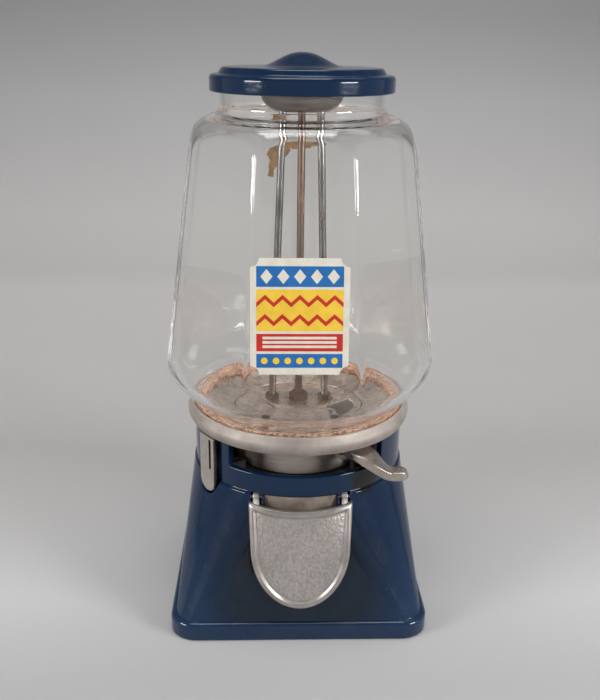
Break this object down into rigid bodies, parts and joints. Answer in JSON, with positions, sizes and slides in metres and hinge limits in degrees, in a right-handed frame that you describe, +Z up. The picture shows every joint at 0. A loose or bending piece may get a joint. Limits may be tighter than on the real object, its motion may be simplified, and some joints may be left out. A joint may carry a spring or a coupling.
{
  "type": "peanut vending machine",
  "caption": "Counter-top nut vendor with a square cast base, a glass globe with flat panels, a swinging lever, a coin slit and a hinged delivery flap.",
  "frame": {"origin": "centre of the foot on the counter", "axes": "+Z up, -Y towards the customer at the flap, +X to the right seen from the front"},
  "size_m": [0.1704, 0.1704, 0.355],
  "materials": {
    "blue_paint": "gloss enamel on a casting",
    "cast_aluminium": "satin casting",
    "machined_aluminium": "turned",
    "glass": "clear",
    "cork": "cork gasket",
    "steel": "bright",
    "rusty_steel": "dull, with some rust",
    "bronze": "plain",
    "leather": "plain"
  },
  "bodies": {
    "base": {"base_casting": "blue_paint", "base_plate": "steel", "base_plate_screws": "steel", "delivery_chute": "cast_aluminium", "chute_screws": "steel", "flap_pin": "steel", "lock_barrel": "steel", "lock_nut": "steel"},
    "hopper": {"hopper_ring": "cast_aluminium", "hopper_pillars": "steel", "floor_plate": "machined_aluminium", "floor_screws": "steel", "cork_gasket": "cork", "glass_globe": "glass", "drum_cover": "cast_aluminium", "cover_screws": "steel", "wiper_strip": "leather", "centre_rod": "rusty_steel", "side_rods": "steel", "rod_nuts": "rusty_steel", "rod_yoke": "cast_aluminium", "coin_plate": "cast_aluminium", "coin_track": "machined_aluminium", "stop_post": "steel", "dog_pin": "steel", "spring_post": "steel", "return_spring": "steel", "lock_keeper": "steel"},
    "lever": {"lever": "cast_aluminium", "measuring_drum": "machined_aluminium", "drum_bush": "bronze", "lever_screws": "steel"},
    "flap": {"flap": "cast_aluminium"},
    "lid": {"lid": "blue_paint"},
    "coin_dog": {"coin_dog": "bronze"},
    "lock": {"lock_plug": "steel", "lock_cam": "steel", "cam_screw": "steel"}
  },
  "joints": [
    {"name": "hopper_lift", "type": "slide", "parent": "base", "child": "hopper", "axis": [0, 0, 1], "range_m": [0, 0.055]},
    {"name": "lever_swing", "type": "hinge", "parent": "hopper", "child": "lever", "pos_m": [0, 0, 0.112], "axis": [0, 0, -1], "range_deg": [0, 65], "stiffness_Nm_per_rad": 0.25, "springref_deg": -17.19, "deforming": ["return_spring"]},
    {"name": "flap_hinge", "type": "hinge", "parent": "base", "child": "flap", "pos_m": [0, -0.06072, 0.0913], "axis": [-1, 0, 0], "range_deg": [0, 45]},
    {"name": "lid_lift", "type": "slide", "parent": "hopper", "child": "lid", "axis": [0, 0, 1], "range_m": [0, 0.05]},
    {"name": "dog_swing", "type": "hinge", "parent": "hopper", "child": "coin_dog", "pos_m": [-0.05104, -0.009, 0.108], "axis": [0, 0, 1], "range_deg": [0, 12], "stiffness_Nm_per_rad": 0.02, "springref_deg": -11.46},
    {"name": "lock_turn", "type": "hinge", "parent": "base", "child": "lock", "pos_m": [0, 0.06, 0.107], "axis": [0, 1, 0], "range_deg": [0, 90]}
  ]
}
